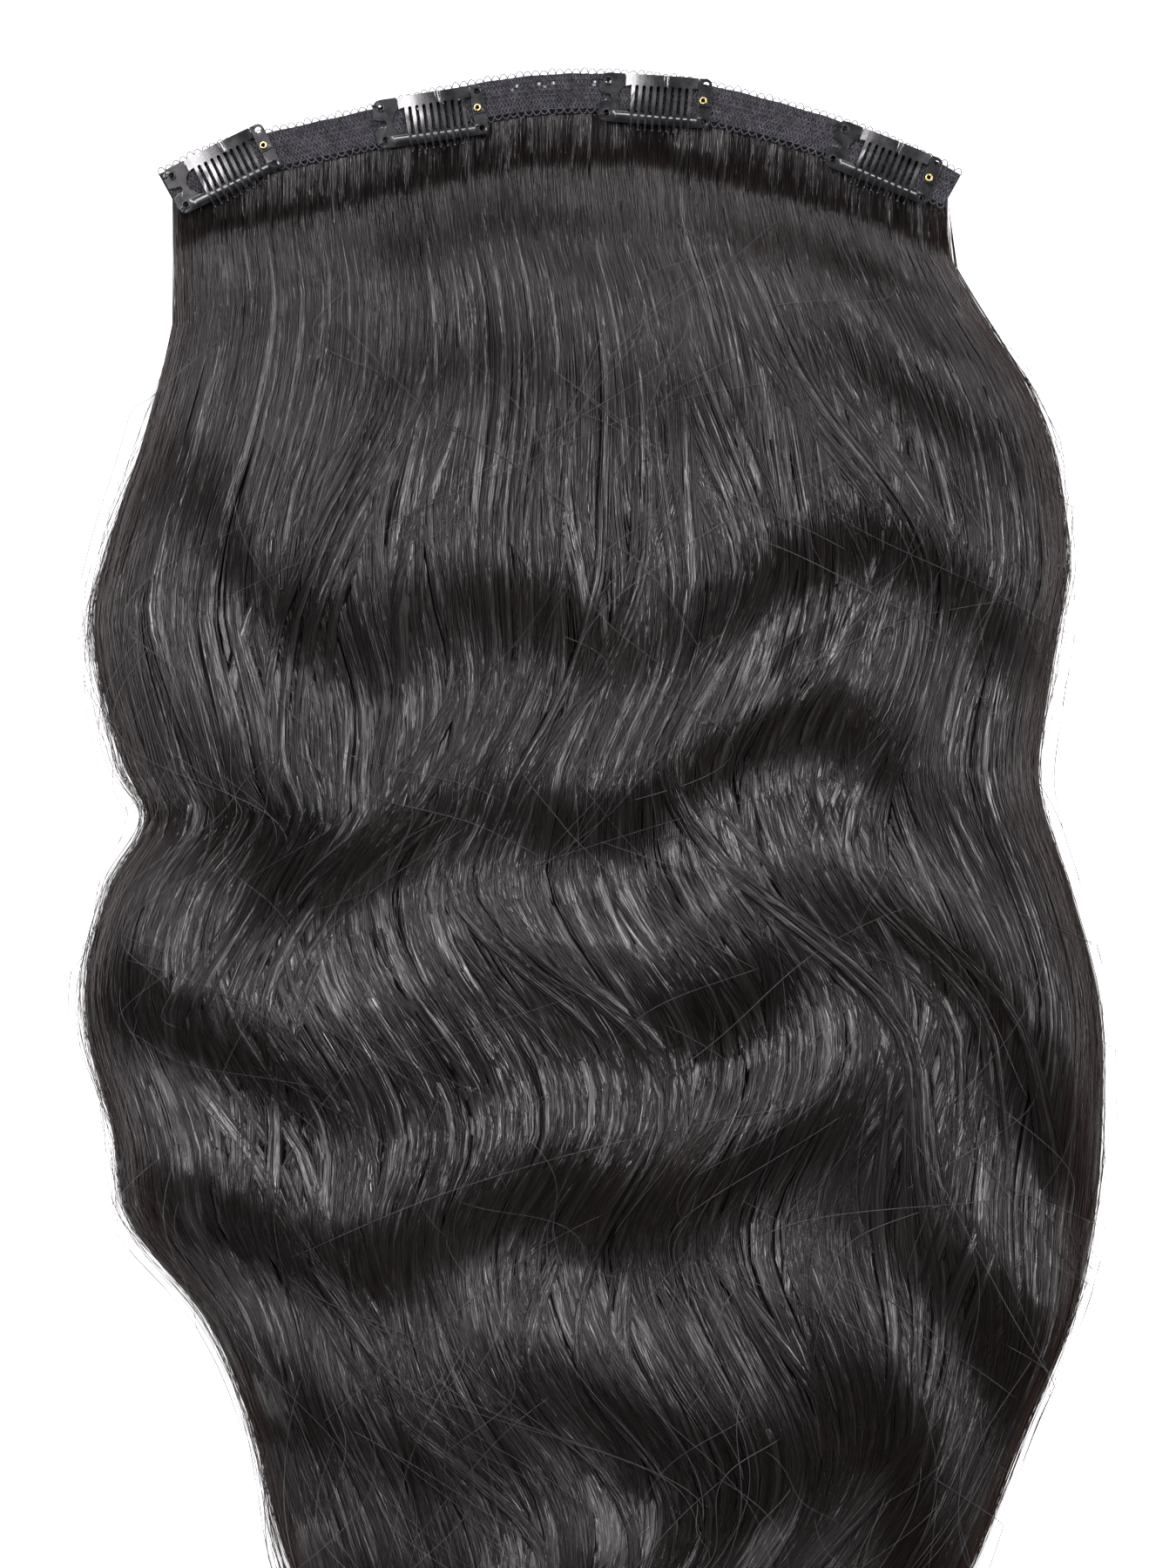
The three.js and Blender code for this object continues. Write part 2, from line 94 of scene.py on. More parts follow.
# Broad locks that sweep over the others: at (share of the strand), then each lock's share across there
SWEEPS = (
    (0, 0.30, 0.40, 0.52, 0.60, 0.74), (0.15, 0.29, 0.40, 0.52, 0.61, 0.75),
    (0.27, 0.23, 0.39, 0.51, 0.66, 0.84), (0.38, 0.17, 0.37, 0.46, 0.63, 0.86),
    (0.48, 0.20, 0.27, 0.43, 0.70, 0.79), (0.58, 0.12, 0.17, 0.50, 0.80, 0.88),
    (0.68, 0.17, 0.13, 0.53, 0.86, 0.92), (0.78, 0.24, 0.21, 0.46, 0.83, 0.86),
    (0.88, 0.20, 0.30, 0.50, 0.75, 0.85), (1, 0.22, 0.28, 0.54, 0.74, 0.83),
)
SWEEP_WISPS = 7
SWEEP_WIDTH = 0.1
# at (share of the half band), tilt from the arc in degrees
CLIPS = ((-0.858, 1.7), (-0.325, -0.9), (0.234, 2.7), (0.817, 1.6))

# Waves across the hair that break up its ripples: height, turns across in radians, start
RIPPLE_SHIFTS = ((3.0, 3.1, 0.4), (1.7, 7.3, 2.0), (0.9, 17, 1.0))
# Rows of zigzag threads: place across the lace, height and pitch in mm
ZIGZAGS = (
    (-4.1, 0.95, 2.1), (-2.5, 1.1, 1.9), (-0.9, 1.15, 2.3), (0.8, 1.1, 1.9), (2.5, 1.1, 2.1), (4.1, 0.9, 1.8),
)

# A clip in its own frame, in mm, as its CAD solids have it: its bowed upper bar and its teeth
STEEL = 0.5
BAR_LEFT = -8.6
BAR_LENGTH = 20.6
BAR_BOW = 0.8
TEETH = 9
FIRST_TOOTH = -6.4
TOOTH_PITCH = 2.0375
TOOTH_END = -9.0
TOOTH_SEAT = 1.18
TOOTH_DROP = 0.5
TOOTH_THICKNESS = 0.42
# Leaves of steel at the bar's ends: the middle of each, and their size
BRIDGES = ((-8.75, 5.5, -0.11), (12.15, 5.5, -0.11))
BRIDGE_SIZE = (1.6, 2.7, 0.16)
# Sewing holes, and the way that the stitches leave each one
STITCHES = (((-13.6, -4.6), (-1.0, -0.55)), ((-13.6, 4.6), (-1, 0.25)), ((14.25, -5.25), (0.5, -1)))
STITCHES_A_HOLE = 3

CLUMPS = 5
STRAND_PIECES = 4
EDGE_STRANDS = 300
HAIR_SEED, LACE_SEED, STITCH_SEED = 11, 23, 41

# Each light's name, its place from the lit point and its size in metres, its strength beside the key's
LIT_POINT = (0.008, -0.17, 0.008)
LIGHTS = (
    ("key", (-0.66, 0.32, 1.7), (1.12, 0.22), 1.0),
    ("bar", (1.0, 0.3, 1.6), (1.3, 0.2), 1.1),
    ("root", (0.15, 1.0, 1.45), (1.3, 0.16), 0.8),
)
# The camera looks straight down: its place and the height of what it sees, in metres
CAMERA_PLACE = (0.00799, -0.1965, 1.205)
CAMERA_DISTANCE = 1.2
FRAME_HEIGHT = 0.44665
SENSOR_HEIGHT = 36.0


# ---------------------------------------------------------------- sizes and colours a user may change


def length_setting(name, description, default):
    """A length setting whose default is in mm."""
    return FloatProperty(name=name, description=description, default=default * MM, unit="LENGTH")


def color_setting(name, description, default):
    return FloatVectorProperty(name=name, description=description, default=default, subtype="COLOR")


class WeftHairSettings(bpy.types.PropertyGroup):
    strands: IntProperty(name="Strands", description="Strands over the hair's body", default=2060, min=200)
    strand_width: length_setting("Strand width", "Thickness of a strand at its root", 0.24)
    wisps: IntProperty(name="Wisps", description="Thin locks that lie side by side", default=140, min=20)
    crossing_wisps: IntProperty(name="Crossing wisps", description="Raised crossing locks", default=9)
    flyaways: IntProperty(name="Flyaways", description="Loose hairs that lie across the rest", default=230)
    fullness: length_setting("Fullness", "Depth of the hair's body", 11.5)
    band_pitch: length_setting("Ripple pitch", "Distance between the body's ripples", 63)
    ripple: length_setting("Ripple", "Height of the body's ripples", 2.7)
    color: color_setting("Colour", "The hair's own colour", (0.0095, 0.0078, 0.0074))
    # Brown tone of the hair in random blotches, and painted backlight: the reddish brown of light shining
    # through the hair where it lies thin at the outline
    brown_and_backlit_color: color_setting("Thin colour", "Colour where the hair is thin", (0.036, 0.018, 0.014))
    # painted sheen: a light grey on the loose hairs on top that stands in for their highlights
    loose_sheen_color: color_setting("Loose colour", "Colour of the loose hairs on top", (0.085, 0.078, 0.08))


class WeftLaceSettings(bpy.types.PropertyGroup):
    thread_width: length_setting("Thread", "Thickness of a lace thread", 0.3)
    loop_pitch: length_setting("Loop pitch", "Distance between edge loops", 2.25)
    loop_height: length_setting("Loop height", "How far a loop stands out", 1.55)
    color: color_setting("Colour", "The lace's colour", (0.0215, 0.0205, 0.026))


class WeftClipSettings(bpy.types.PropertyGroup):
    edge_round: length_setting("Edge rounding", "Rounding of stamped edges", 0.07)
    tip_radius: length_setting("Tip radius", "Radius of a tooth's round tip", 0.5)
    paint: color_setting("Paint", "Colour of the clips", (0.007, 0.007, 0.0085))
    brass: color_setting("Brass", "Colour of the rivets", (0.78, 0.6, 0.24))


class WeftStageSettings(bpy.types.PropertyGroup):
    floor: color_setting("Floor", "Colour of the surface", (0.92, 0.92, 0.93))
    key: FloatProperty(name="Key light", description="Radiance of the main softbox", default=24.0)
    ambient: FloatProperty(name="Ambient", description="Strength of the even light", default=0.08)


# ---------------------------------------------------------------- the weft's flow


def smooth(value):
    """0 below 0, 1 above 1 and an even rise between."""
    value = np.clip(value, 0, 1)
    return value * value * (3 - 2 * value)


def follow(table, column, share):
    """A column of a table at each share, along a smooth curve through its rows."""
    rows = np.array(table, float)
    at, value = rows[:, 0], rows[:, column]
    share = np.clip(np.asarray(share, float), at[0], at[-1])
    a = np.clip(np.searchsorted(at, share) - 1, 0, len(at) - 2)
    b = a + 1
    before, after = np.maximum(a - 1, 0), np.minimum(a + 2, len(at) - 1)
    span = at[b] - at[a]
    slope_a = (value[b] - value[before]) / (at[b] - at[before]) * span
    slope_b = (value[after] - value[a]) / (at[after] - at[a]) * span
    t = (share - at[a]) / span
    return (
        (2 * t**3 - 3 * t**2 + 1) * value[a] + (t**3 - 2 * t**2 + t) * slope_a
        + (3 * t**2 - 2 * t**3) * value[b] + (t**3 - t**2) * slope_b
    )


def band_point(share, rise=0.0):
    """x and y, in mm, of the clips' line at a share of the band's half length, moved outwards by rise."""
    radius = ARC_RADIUS - follow(BAND_SAG, 1, share) * LACE_WIDTH + rise
    turn = np.asarray(share) * HALF_TURN
    return radius * np.sin(turn), radius * np.cos(turn) - ARC_RADIUS


def strand_x(across, y):
    """x, in mm, of the hair at a share across it and a height y."""
    down = np.clip(-y / HAIR_DROP, 0, 1)
    left, right = (follow(HAIR_EDGES, column, down) * HALF_CHORD for column in (1, 2))
    grown = smooth((-y / HAIR_DROP - 0.12) / 0.38)
    turn = 2 * np.pi * -y / WAVE_LENGTH + np.pi * (across - 0.35)
    sway = SWAY_WIDTH * 4 * across * (1 - across) * grown * np.sin(turn)
    return left + (right - left) * across + sway


def hair_width(y):
    """The hair's width in mm at a height y."""
    down = np.clip(-y / HAIR_DROP, 0, 1)
    return (follow(HAIR_EDGES, 2, down) - follow(HAIR_EDGES, 1, down)) * HALF_CHORD


def lock_reach(across):
    """How far down, in mm, the lock at a share across ends, and that lock's own share across."""
    index = np.clip(np.round((across - LOCK_MARGIN) / (1 - 2 * LOCK_MARGIN) * (LOCKS - 1)), 0, LOCKS - 1)
    centre = LOCK_MARGIN + (1 - 2 * LOCK_MARGIN) * index / (LOCKS - 1)
    return HAIR_DROP * (1 - 0.03 * (1 + np.cos(index * 2.4))), centre


def strand_point(root, across, share, reach):
    """x and y, in mm, of a strand at a share of its length. It leaves the seam at its root's place."""
    root_x, root_y = band_point(-1 + 2 * np.clip(root, 0, 1), SEAM_OFFSET)
    y = root_y + (-reach - root_y) * share
    leaving = smooth(share * 9)
    return root_x + (strand_x(across, y) - root_x) * leaving, y


def hair_top(across, share, y):
    """The top of the hair's even body above the surface, in mm, with its ripples."""
    hair = bpy.context.scene.weft_hair
    fullness, pitch, ripple = (value / MM for value in (hair.fullness, hair.band_pitch, hair.ripple))
    phase = sum(height * np.sin(turns * across + start) for height, turns, start in RIPPLE_SHIFTS)
    phase = phase + 1.3 * np.sin(7.5 * share + 5 * across)
    patches = 0.72 + 0.28 * np.sin(8.5 * share + 13 * across + 1.5) + 0.16 * np.sin(17 * share - 23 * across)
    wave = patches * (1.1 + 0.9 * share) * np.sin(2 * np.pi * -y / pitch + phase)
    swell = 0.055 * np.sin(19 * across + 1 + 3 * share) + 0.04 * np.sin(43 * across + 2 - 5 * share)
    side = np.clip(np.minimum(across, 1 - across), 0, None) * hair_width(y)
    inside = 1 - np.exp(-side / 7)
    uneven = 0.018 * np.sin(11 * across + 1) + 0.012 * np.sin(29 * across + 2)
    onset = uneven * smooth(25 * share - 0.4) * np.exp(-6 * share)
    depth = follow(HAIR_BULK, 1, share + onset)
    rise = fullness * (1 + swell) - ROOT_HEIGHT + ripple * wave
    return ROOT_HEIGHT + depth * inside * rise - 1.4 * (1 - inside)


# ---------------------------------------------------------------- making meshes


def link(name, mesh):
    made = bpy.data.objects.new(name, mesh)
    bpy.context.scene.collection.objects.link(made)
    return made


def finished(made, material, *replaced, body=BODY, slot="hair"):
    """Gives a piece its material and body, and hides the CAD nodes that it stands for. Its slot is not used.
    """
    made.data.materials.clear()
    made.data.materials.append(material)
    made.data.shade_smooth()
    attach(made, body)
    if replaced:
        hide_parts(*replaced)
    return made


def new_shell():
    """An empty bmesh with a UV map for the shapes that are made in it."""
    shell = bmesh.new()
    shell.loops.layers.uv.new("UVMap")
    return shell


def set_places(verts, places):
    """Moves vertices to places in mm."""
    for vert, place in zip(verts, places * MM):
        vert.co = place


def tubes(name, lines, widths, radius, sides=3, values=None, closed=False):
    """A mesh of thin round strands along lines of points in mm, each as wide as its widths say. Open
    strands come to a point at both ends. values holds attributes with a number for each strand."""
    profile = bpy.data.curves.new(name + "_profile", "CURVE")
    ring = profile.splines.new("POLY")
    ring.points.add(sides - 1)
    for k, point in enumerate(ring.points):
        turn = -2 * math.pi * k / sides  # clockwise, so that the faces point outwards
        point.co = (radius * math.cos(turn), radius * math.sin(turn), 0, 1)
    ring.use_cyclic_u = True
    profile_object = link(name + "_profile", profile)
    curve = bpy.data.curves.new(name + "_lines", "CURVE")
    curve.dimensions = "3D"
    curve.bevel_mode = "OBJECT"
    curve.bevel_object = profile_object
    for line, width in zip(lines, widths):
        spline = curve.splines.new("POLY")
        spline.points.add(len(line) - 1)
        points = np.column_stack([line * MM, np.ones(len(line))])
        spline.points.foreach_set("co", points.astype(np.float32).ravel())
        shape = np.array(width, float) * np.ones(len(line))
        if not closed:
            shape[[0, -1]] = 0
        spline.points.foreach_set("radius", shape.astype(np.float32))
        spline.use_cyclic_u = closed
        spline.use_smooth = True
    curve_object = link(name + "_lines", curve)
    bpy.context.view_layer.update()
    mesh = bpy.data.meshes.new_from_object(curve_object.evaluated_get(bpy.context.evaluated_depsgraph_get()))
    for temporary in (curve_object, profile_object):
        bpy.data.objects.remove(temporary)
    if values is not None:
        counts = [len(line) * sides for line in lines]
        assert sum(counts) == len(mesh.vertices), "each strand has its own vertices, in order"
        for key, value in values.items():
            attribute = mesh.attributes.new(key, "FLOAT", "POINT")
            attribute.data.foreach_set("value", np.repeat(np.asarray(value, np.float32), counts))
    shell = bmesh.new()
    shell.from_mesh(mesh)
    bmesh.ops.remove_doubles(shell, verts=shell.verts, dist=2e-7)
    shell.to_mesh(mesh)
    shell.free()
    mesh.name = name
    return link(name, mesh)


def close_underside(shell):
    """Walls from a shell's open edge down to the surface, and a flat underside."""
    rim = bmesh.ops.extrude_edge_only(shell, edges=[edge for edge in shell.edges if edge.is_boundary])
    for vert in (item for item in rim["geom"] if isinstance(item, bmesh.types.BMVert)):
        vert.co.z = 0.0
    base = [edge for edge in shell.edges if edge.is_boundary]
    bmesh.ops.triangle_fill(shell, use_beauty=True, edges=base, normal=(0, 0, -1))
    bmesh.ops.recalc_face_normals(shell, faces=shell.faces)


def linked(name, shell):
    """The object that a finished bmesh becomes."""
    mesh = bpy.data.meshes.new(name)
    shell.to_mesh(mesh)
    shell.free()
    return link(name, mesh)


def hair_body():
    """The hair's even body: one closed form from the seam to where the locks part into tips."""
    columns, rows = 190, 150
    shell = new_shell()
    made = bmesh.ops.create_grid(shell, x_segments=columns, y_segments=rows, size=1, calc_uvs=True)
    grid = np.array([vert.co for vert in made["verts"]])
    across = 0.5 - 0.5 * np.cos(np.pi * (grid[:, 0] + 1) / 2)  # closer columns near the edges
    across = 0.5 * across + 0.25 * (grid[:, 0] + 1)
    share = (1 - (grid[:, 1] + 1) / 2) ** 1.15
    _, centre = lock_reach(across)
    end = 0.93 - 0.05 * np.abs(across - centre) * LOCKS
    share = share * end
    inner = 0.012 + 0.976 * across
    x, y = strand_point(across, inner, share, np.full_like(across, HAIR_DROP * 0.985))
    z = np.maximum(hair_top(inner, share, y) - 0.5, 0.5)
    set_places(made["verts"], np.column_stack([x, y, z]))
    shell.faces.ensure_lookup_table()
    if shell.faces[0].normal.z < 0:
        bmesh.ops.reverse_faces(shell, faces=shell.faces)
    close_underside(shell)
    return linked("hair_body", shell)


class Wisps:
    """The thin locks that the hair falls into: where each runs, how wide it is and how high it lies."""

    def __init__(self, rng, hair):
        count, crossing, sweeping = hair.wisps, hair.crossing_wisps, SWEEP_WISPS * (len(SWEEPS[0]) - 1)
        total = count + crossing + sweeping
        number = np.arange(total)
        self.crossing = (number >= count) & (number < count + crossing)
        self.sweep = np.where(number < count + crossing, 0, (number - count - crossing) // SWEEP_WISPS + 1)
        even = (np.arange(count) + 0.5) / count + rng.uniform(-0.4, 0.4, count) / count
        spread = np.tile(np.linspace(-0.5, 0.5, SWEEP_WISPS), len(SWEEPS[0]) - 1)
        spread = spread + rng.normal(0, 0.08, sweeping)
        self.aside = np.concatenate([np.zeros(count + crossing), spread * SWEEP_WIDTH])
        swept = np.repeat(SWEEPS[0][1:], SWEEP_WISPS) + spread * SWEEP_WIDTH
        self.root = np.clip(np.concatenate([even, rng.uniform(0.06, 0.94, crossing), swept]), 0.004, 0.996)
        wide = np.select(
            [self.crossing, self.sweep > 0],
            [rng.uniform(0.04, 0.09, total), rng.uniform(0.003, 0.009, total)],
            rng.uniform(0.008, 0.024, total),
        )
        self.waves = np.stack(
            [
                (wide, rng.uniform(0.5, 1.2, total), rng.uniform(0, 2 * np.pi, total)),
                (wide * 0.3, rng.uniform(1.6, 3.0, total), rng.uniform(0, 2 * np.pi, total)),
            ]
        )
        self.half = np.where(self.crossing, rng.uniform(0.012, 0.02, total), rng.uniform(0.006, 0.016, total))
        self.lift = np.select(
            [self.crossing, self.sweep > 0],
            [rng.uniform(0.5, 1.2, total), 2.6 - 34 * np.abs(self.aside) + rng.uniform(-0.3, 0.3, total)],
            rng.uniform(0.1, 1.2, total),
        )
        self.reach = 1 - 0.07 * rng.uniform(0, 1, total) ** 1.5
        self.ripple = rng.uniform(0, 2 * np.pi, total)
        self.swell = rng.uniform(0.1, 0.55, total)
        self.swell_turns = rng.uniform(38, 62, total)
        self.clump_side = rng.uniform(-1.05, 1.05, (total, CLUMPS))
        self.clump_swing = rng.normal(0, 0.2, (total, CLUMPS))
        self.clump_turns = rng.uniform(0, 4, (total, CLUMPS))
        self.clump_phase = rng.uniform(0, 6.3, (total, CLUMPS))
        self.total = total

    def across(self, w, share):
        """The share across of wisp w's middle at shares of its length."""
        grown = smooth((share - 0.07) / 0.35)
        room = min(1.0, 5 * self.root[w] * (1 - self.root[w]) + 0.08)
        place = np.full_like(share, self.root[w])
        if self.sweep[w]:
            pinch = 1 - 0.35 * grown * (1 + np.sin(9 * share + self.sweep[w]))
            place = follow(SWEEPS, self.sweep[w], share) + self.aside[w] * pinch
        for amount, turns, phase in self.waves[:, :, w]:
            swing = np.sin(2 * np.pi * turns * share + phase) - np.sin(phase)
            place = place + room * amount * grown * swing
        place = np.clip(place, 0.006, 0.994)
        _, centre = lock_reach(place[-1])
        return centre + (place - centre) * follow(HAIR_BULK, 2, share)

    def height(self, w, share):
        """How high wisp w's middle lies over the hair's body, in mm."""
        grown = smooth((share - 0.05) / 0.2) * follow(HAIR_BULK, 1, np.minimum(share + 0.02, 1))
        waves = self.swell[w] * np.sin(self.swell_turns[w] * share + 2 * self.ripple[w])
        return grown * (self.lift[w] * (0.75 + 0.25 * np.sin(9 * share + self.ripple[w])) + waves)

    def half_width(self, w, share):
        """Half of wisp w's width, as a share of the hair's."""
        uneven = 0.8 + 0.2 * np.sin(7 * share + 2 * self.ripple[w])
        return self.half[w] * uneven * follow(HAIR_BULK, 2, share)

    def place(self, w, share, side, over, end=1.0, shift=0.0):
        """Points in mm at a side from -1 to 1 of wisp w, over its surface, with the root shifted."""
        share = share * self.reach[w] * end
        middle = self.across(w, share)
        across = middle + side * self.half_width(w, share)
        reach, _ = lock_reach(middle[-1])
        root = self.root[w] + side * self.half[w] * 0.7 + shift
        x, y = strand_point(root, across, share, reach)
        round_top = self.height(w, share) * (1 - np.minimum(side**2, 1))
        z = hair_top(np.clip(across, 0, 1), share, y) + round_top + over
        return np.column_stack([x, y, np.maximum(z, 0.25)])


def wisp_bodies(wisps):
    """One closed lens-shaped ribbon for each wisp, its round top a little over the hair's body."""
    around, along = 6, 46
    shell = new_shell()
    for w in range(wisps.total):
        made = bmesh.ops.create_grid(shell, x_segments=around, y_segments=along, size=1, calc_uvs=True)
        grid = np.array([vert.co for vert in made["verts"]])
        turn = np.pi * (grid[:, 0] + 1)
        step = 1 - (grid[:, 1] + 1) / 2
        places = np.zeros((len(grid), 3))
        steps = np.unique(np.round(step, 6))
        taper = np.sqrt(np.clip(np.sin(np.pi * np.clip(steps, 0, 1)), 0, 1)) * 0.6 + 0.4
        taper[[0, -1]] = 0
        shares = 0.03 + 0.97 * steps
        for corner in np.unique(np.round(turn, 6)):
            side, up = np.cos(corner), np.sin(corner)
            line = wisps.place(w, shares, np.clip(side * taper, -1, 1), 0.0)
            line[:, 2] = np.maximum(line[:, 2] - 0.35 + (0.3 if up > 0 else 0.55) * up * taper, 0.02)
            chosen = np.where(np.abs(turn - corner) < 1e-3)[0]
            order = np.searchsorted(steps, np.round(step[chosen], 6))
            places[chosen] = line[np.clip(order, 0, len(steps) - 1)]
        set_places(made["verts"], places)
    bmesh.ops.remove_doubles(shell, verts=shell.verts, dist=1e-7)
    bmesh.ops.recalc_face_normals(shell, faces=shell.faces)
    return linked("hair_wisps", shell)


def strand_lines(wisps, rng, count):
    """Lines, widths and values of single strands that run with the wisps."""
    share = np.interp(np.linspace(0, 1, 48), (0, 0.05, 1), (0, 0.11, 1))
    outer = 1 + 1.2 * np.exp(-np.minimum(wisps.root, 1 - wisps.root) / 0.03)
    weight = wisps.half * (1 + 0.3 * wisps.crossing) * outer
    owners = rng.choice(wisps.total, count, p=weight / weight.sum())
    lines, widths, tints, backlit_amounts = [], [], [], []
    for w in owners:
        clump = rng.integers(CLUMPS)
        away = rng.normal(0, 0.11)
        turns, phase = 2 + wisps.clump_turns[w, clump], wisps.clump_phase[w, clump]
        swing = wisps.clump_swing[w, clump] * np.sin(turns * share + phase)
        own = rng.normal(0, 0.09) * np.sin(rng.uniform(4, 10) * share + rng.uniform(0, 6.3))
        side = wisps.clump_side[w, clump] + away + (swing + own) * smooth(share * 3)
        over = rng.uniform(0.0, 0.35) - 4 * away**2
        over = over + 0.26 * np.sin(rng.uniform(35, 85) * share + rng.uniform(0, 6.3))
        end, shift = 1 - 0.1 * rng.uniform(0, 1) ** 2, rng.normal(0, 0.007)
        lines.append(wisps.place(w, share, side, over, end, shift))
        widths.append(rng.uniform(0.7, 1.2) * (1 - 0.55 * share**3))
        tints.append(rng.uniform(0, 1) ** 2)
        # how strongly painted backlight reddens the strand: more the nearer its wisp lies to the hair's outer
        # edges
        backlit_amounts.append(0.5 * max(0, 1 - min(wisps.root[w], 1 - wisps.root[w]) / 0.05))
    return lines, widths, tints, backlit_amounts


def edge_lines(rng, count):
    """Fine strands along the hair's outline, some of them just outside it."""
    steps = 50
    lines, widths = [], []
    for index in range(count):
        start, length = rng.uniform(0.03, 0.8), rng.uniform(0.12, 0.4)
        share = start + (min(start + length, 0.985) - start) * np.linspace(0, 1, steps)
        bow = np.sin(np.pi * np.linspace(0, 1, steps))
        inside = 0.02 - bow * (0.016 + np.abs(rng.normal(0, 0.007)))
        inside = inside + rng.uniform(0, 0.003) * np.sin(rng.uniform(8, 25) * share + rng.uniform(0, 6.3))
        inside = inside - 0.012 * bow * rng.uniform(0, 1) ** 2.5
        across = inside if index % 2 == 0 else 1 - inside
        x, y = strand_point(across, across, share, HAIR_DROP * 0.97)
        z = np.maximum(hair_top(np.clip(across, 0, 1), share, y), 0.3) + rng.uniform(0, 1.5) * bow
        lines.append(np.column_stack([x, y, z]))
        widths.append(rng.uniform(0.5, 0.85) * np.ones(steps))
    return lines, widths


def flyaway_lines(rng, count):
    """Loose hairs that wander across the others."""
    steps = 32
    t = np.linspace(0, 1, steps)
    lines, widths = [], []
    for _ in range(count):
        start = rng.uniform(0.04, 0.88)
        length = rng.uniform(0.04, 0.2)
        curl = rng.uniform(0.1, 0.6) * np.sin(np.pi * t * rng.uniform(0.8, 2.2) + rng.uniform(0, 6.3))
        share = np.clip(start + length * (t + 0.4 * curl * t * (1 - t)), 0, 0.97)
        across = rng.uniform(0.03, 0.97) + rng.normal(0, 0.17) * t + rng.normal(0, 0.09) * curl * t
        across = across + rng.normal(0, 0.028) * np.sin(np.pi * t * rng.uniform(0.8, 1.7))
        across = np.clip(across, -0.02, 1.02)
        x, y = strand_point(across, across, share, HAIR_DROP * 0.97)
        z = hair_top(np.clip(across, 0, 1), share, y) + 0.9 + rng.uniform(0.8, 3.0) * np.sin(np.pi * t)
        lines.append(np.column_stack([x, y, np.maximum(z, 0.3)]))
        widths.append(rng.uniform(0.6, 1.1) * np.ones(steps))
    return lines, widths


# ---------------------------------------------------------------- materials


def shader_group(name, inputs, outputs):
    """A new node group with its sockets, and its input and output nodes."""
    tree = bpy.data.node_groups.new(name, "ShaderNodeTree")
    for label, kind, default in inputs:
        socket = tree.interface.new_socket(name=label, in_out="INPUT", socket_type=kind)
        if default is not None:
            socket.default_value = default
    for label, kind in outputs:
        tree.interface.new_socket(name=label, in_out="OUTPUT", socket_type=kind)
    return tree, tree.nodes.new("NodeGroupInput"), tree.nodes.new("NodeGroupOutput")


def add(tree, kind, links=None, **settings):
    """A node with its settings. Keys of links are the node's inputs, by name or number."""
    node = tree.nodes.new(kind)
    for key, value in settings.items():
        if hasattr(node, key):
            setattr(node, key, value)
        else:
            node.inputs[key.replace("_", " ")].default_value = value
    for key, source in (links or {}).items():
        if isinstance(source, bpy.types.NodeSocket):
            tree.links.new(source, node.inputs[key])
        else:
            node.inputs[key].default_value = source
    return node


def multiply_add(tree, value, factor, other):
    """value times factor plus other."""
    node = add(tree, "ShaderNodeMath", {0: value, 1: factor, 2: other}, operation="MULTIPLY_ADD")
    return node.outputs[0]


def stretched(tree, place, factors):
    """A place multiplied on each axis."""
    return add(tree, "ShaderNodeVectorMath", {0: place, 1: factors}, operation="MULTIPLY").outputs[0]


def noise_at(tree, place, detail, roughness):
    node = add(tree, "ShaderNodeTexNoise", {"Vector": place}, Scale=1.0, Detail=detail, Roughness=roughness)
    return node.outputs["Fac"]


def streaks_group():
    """Fine and broad streaks along a strand's way, from a UV that runs across and along the hair."""
    tree, given, result = shader_group(
        "fibre_streaks",
        [
            ("Vector", "NodeSocketVector", None), ("Across", "NodeSocketFloat", 300.0),
            ("Along", "NodeSocketFloat", 4.0),
        ],
        [("Fine", "NodeSocketFloat"), ("Broad", "NodeSocketFloat"), ("Relief", "NodeSocketFloat")],
    )
    scale = add(tree, "ShaderNodeCombineXYZ", {0: given.outputs["Across"], 1: given.outputs["Along"]})
    place = stretched(tree, given.outputs["Vector"], scale.outputs[0])
    fine = noise_at(tree, place, 2.0, 0.7)
    middle = noise_at(tree, stretched(tree, place, (0.37, 0.7, 1)), 1.0, 0.6)
    broad = noise_at(tree, stretched(tree, place, (0.11, 0.4, 1)), 2.0, 0.6)
    relief = multiply_add(tree, broad, 3.0, multiply_add(tree, middle, 2.2, fine))
    tree.links.new(relief, result.inputs["Relief"])
    tree.links.new(fine, result.inputs["Fine"])
    tree.links.new(broad, result.inputs["Broad"])
    return tree


def grain_group():
    """Fine grain and soft blotches on Object coordinates, for paint, metal and thread."""
    tree, given, result = shader_group(
        "fine_grain",
        [("Grain", "NodeSocketFloat", 4000.0), ("Blotch", "NodeSocketFloat", 160.0)],
        [("Grain", "NodeSocketFloat"), ("Blotch", "NodeSocketFloat")],
    )
    place = add(tree, "ShaderNodeTexCoord")
    for label in ("Grain", "Blotch"):
        noise = add(
            tree, "ShaderNodeTexNoise", {"Vector": place.outputs["Object"], "Scale": given.outputs[label]},
            Detail=3.0, Roughness=0.6,
        )
        tree.links.new(noise.outputs["Fac"], result.inputs[label])
    return tree


def ranged(tree, source, low, high, from_low=0.3, from_high=0.7):
    """A value stretched from one range to another."""
    return add(
        tree, "ShaderNodeMapRange",
        {"Value": source, "From Min": from_low, "From Max": from_high, "To Min": low, "To Max": high},
    ).outputs["Result"]


def mixed(tree, factor, first, second):
    """A colour between two others."""
    node = add(tree, "ShaderNodeMix", data_type="RGBA")
    for key, source in ((0, factor), (6, first), (7, second)):
        if isinstance(source, bpy.types.NodeSocket):
            tree.links.new(source, node.inputs[key])
        else:
            node.inputs[key].default_value = (*source, 1) if hasattr(source, "__len__") else source
    return node.outputs[2]


